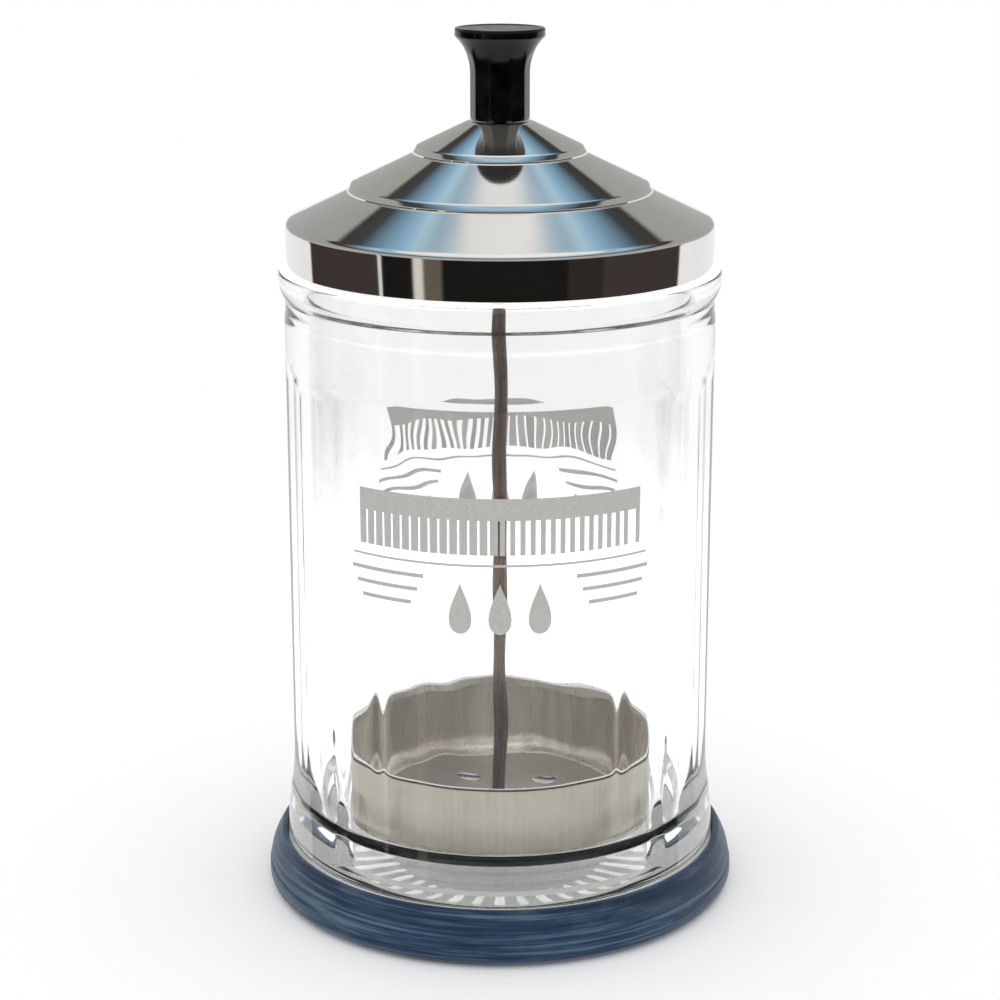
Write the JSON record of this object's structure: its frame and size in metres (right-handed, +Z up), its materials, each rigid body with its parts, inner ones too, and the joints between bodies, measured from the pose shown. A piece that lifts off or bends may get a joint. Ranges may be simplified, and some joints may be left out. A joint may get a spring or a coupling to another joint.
{
  "type": "disinfectant jar",
  "caption": "Countertop glass disinfectant jar with a rubber base ring, a stepped steel lid, a black knob and a drained steel tray that lifts out on a rod.",
  "frame": {"origin": "centre of the underside of the base ring, on the surface the jar stands on", "axes": "+Z up along the rod and the jar's axis; the front of the jar, with its plain panel, faces -Y; +X is to the right seen from the front"},
  "size_m": [0.1148, 0.1148, 0.2082],
  "materials": {
    "glass": "clear pressed glass, fire polished",
    "base_rubber": "satin, faintly streaked round the ring",
    "lid_steel": "mirror-polished stainless steel",
    "tray_steel": "brushed, with a fine vertical grain on the wall",
    "rod_steel": "drawn stainless bar, satin, with a warm dark tone",
    "fastener_steel": "plain stainless fasteners",
    "knob_plastic": "gloss black moulding with a satin top",
    "insert_brass": "turned"
  },
  "bodies": {
    "jar": {"glass_jar": "glass", "base_ring": "base_rubber"},
    "lid_and_tray": {"lid_shell": "lid_steel", "lift_rod": "rod_steel", "lid_washer": "fastener_steel", "lid_nut": "fastener_steel", "tray": "tray_steel", "tray_top_nut": "fastener_steel", "tray_washer": "fastener_steel", "tray_bottom_nut": "fastener_steel"},
    "knob": {"knob_body": "knob_plastic", "knob_insert": "insert_brass"}
  },
  "joints": [
    {"name": "lid_lift", "type": "slide", "parent": "jar", "child": "lid_and_tray", "axis": [0, 0, 1], "range_m": [0, 0.16]},
    {"name": "knob_unscrew", "type": "hinge", "parent": "lid_and_tray", "child": "knob", "pos_m": [0, 0, 0.19], "axis": [0, 0, 1], "continuous": true}
  ]
}
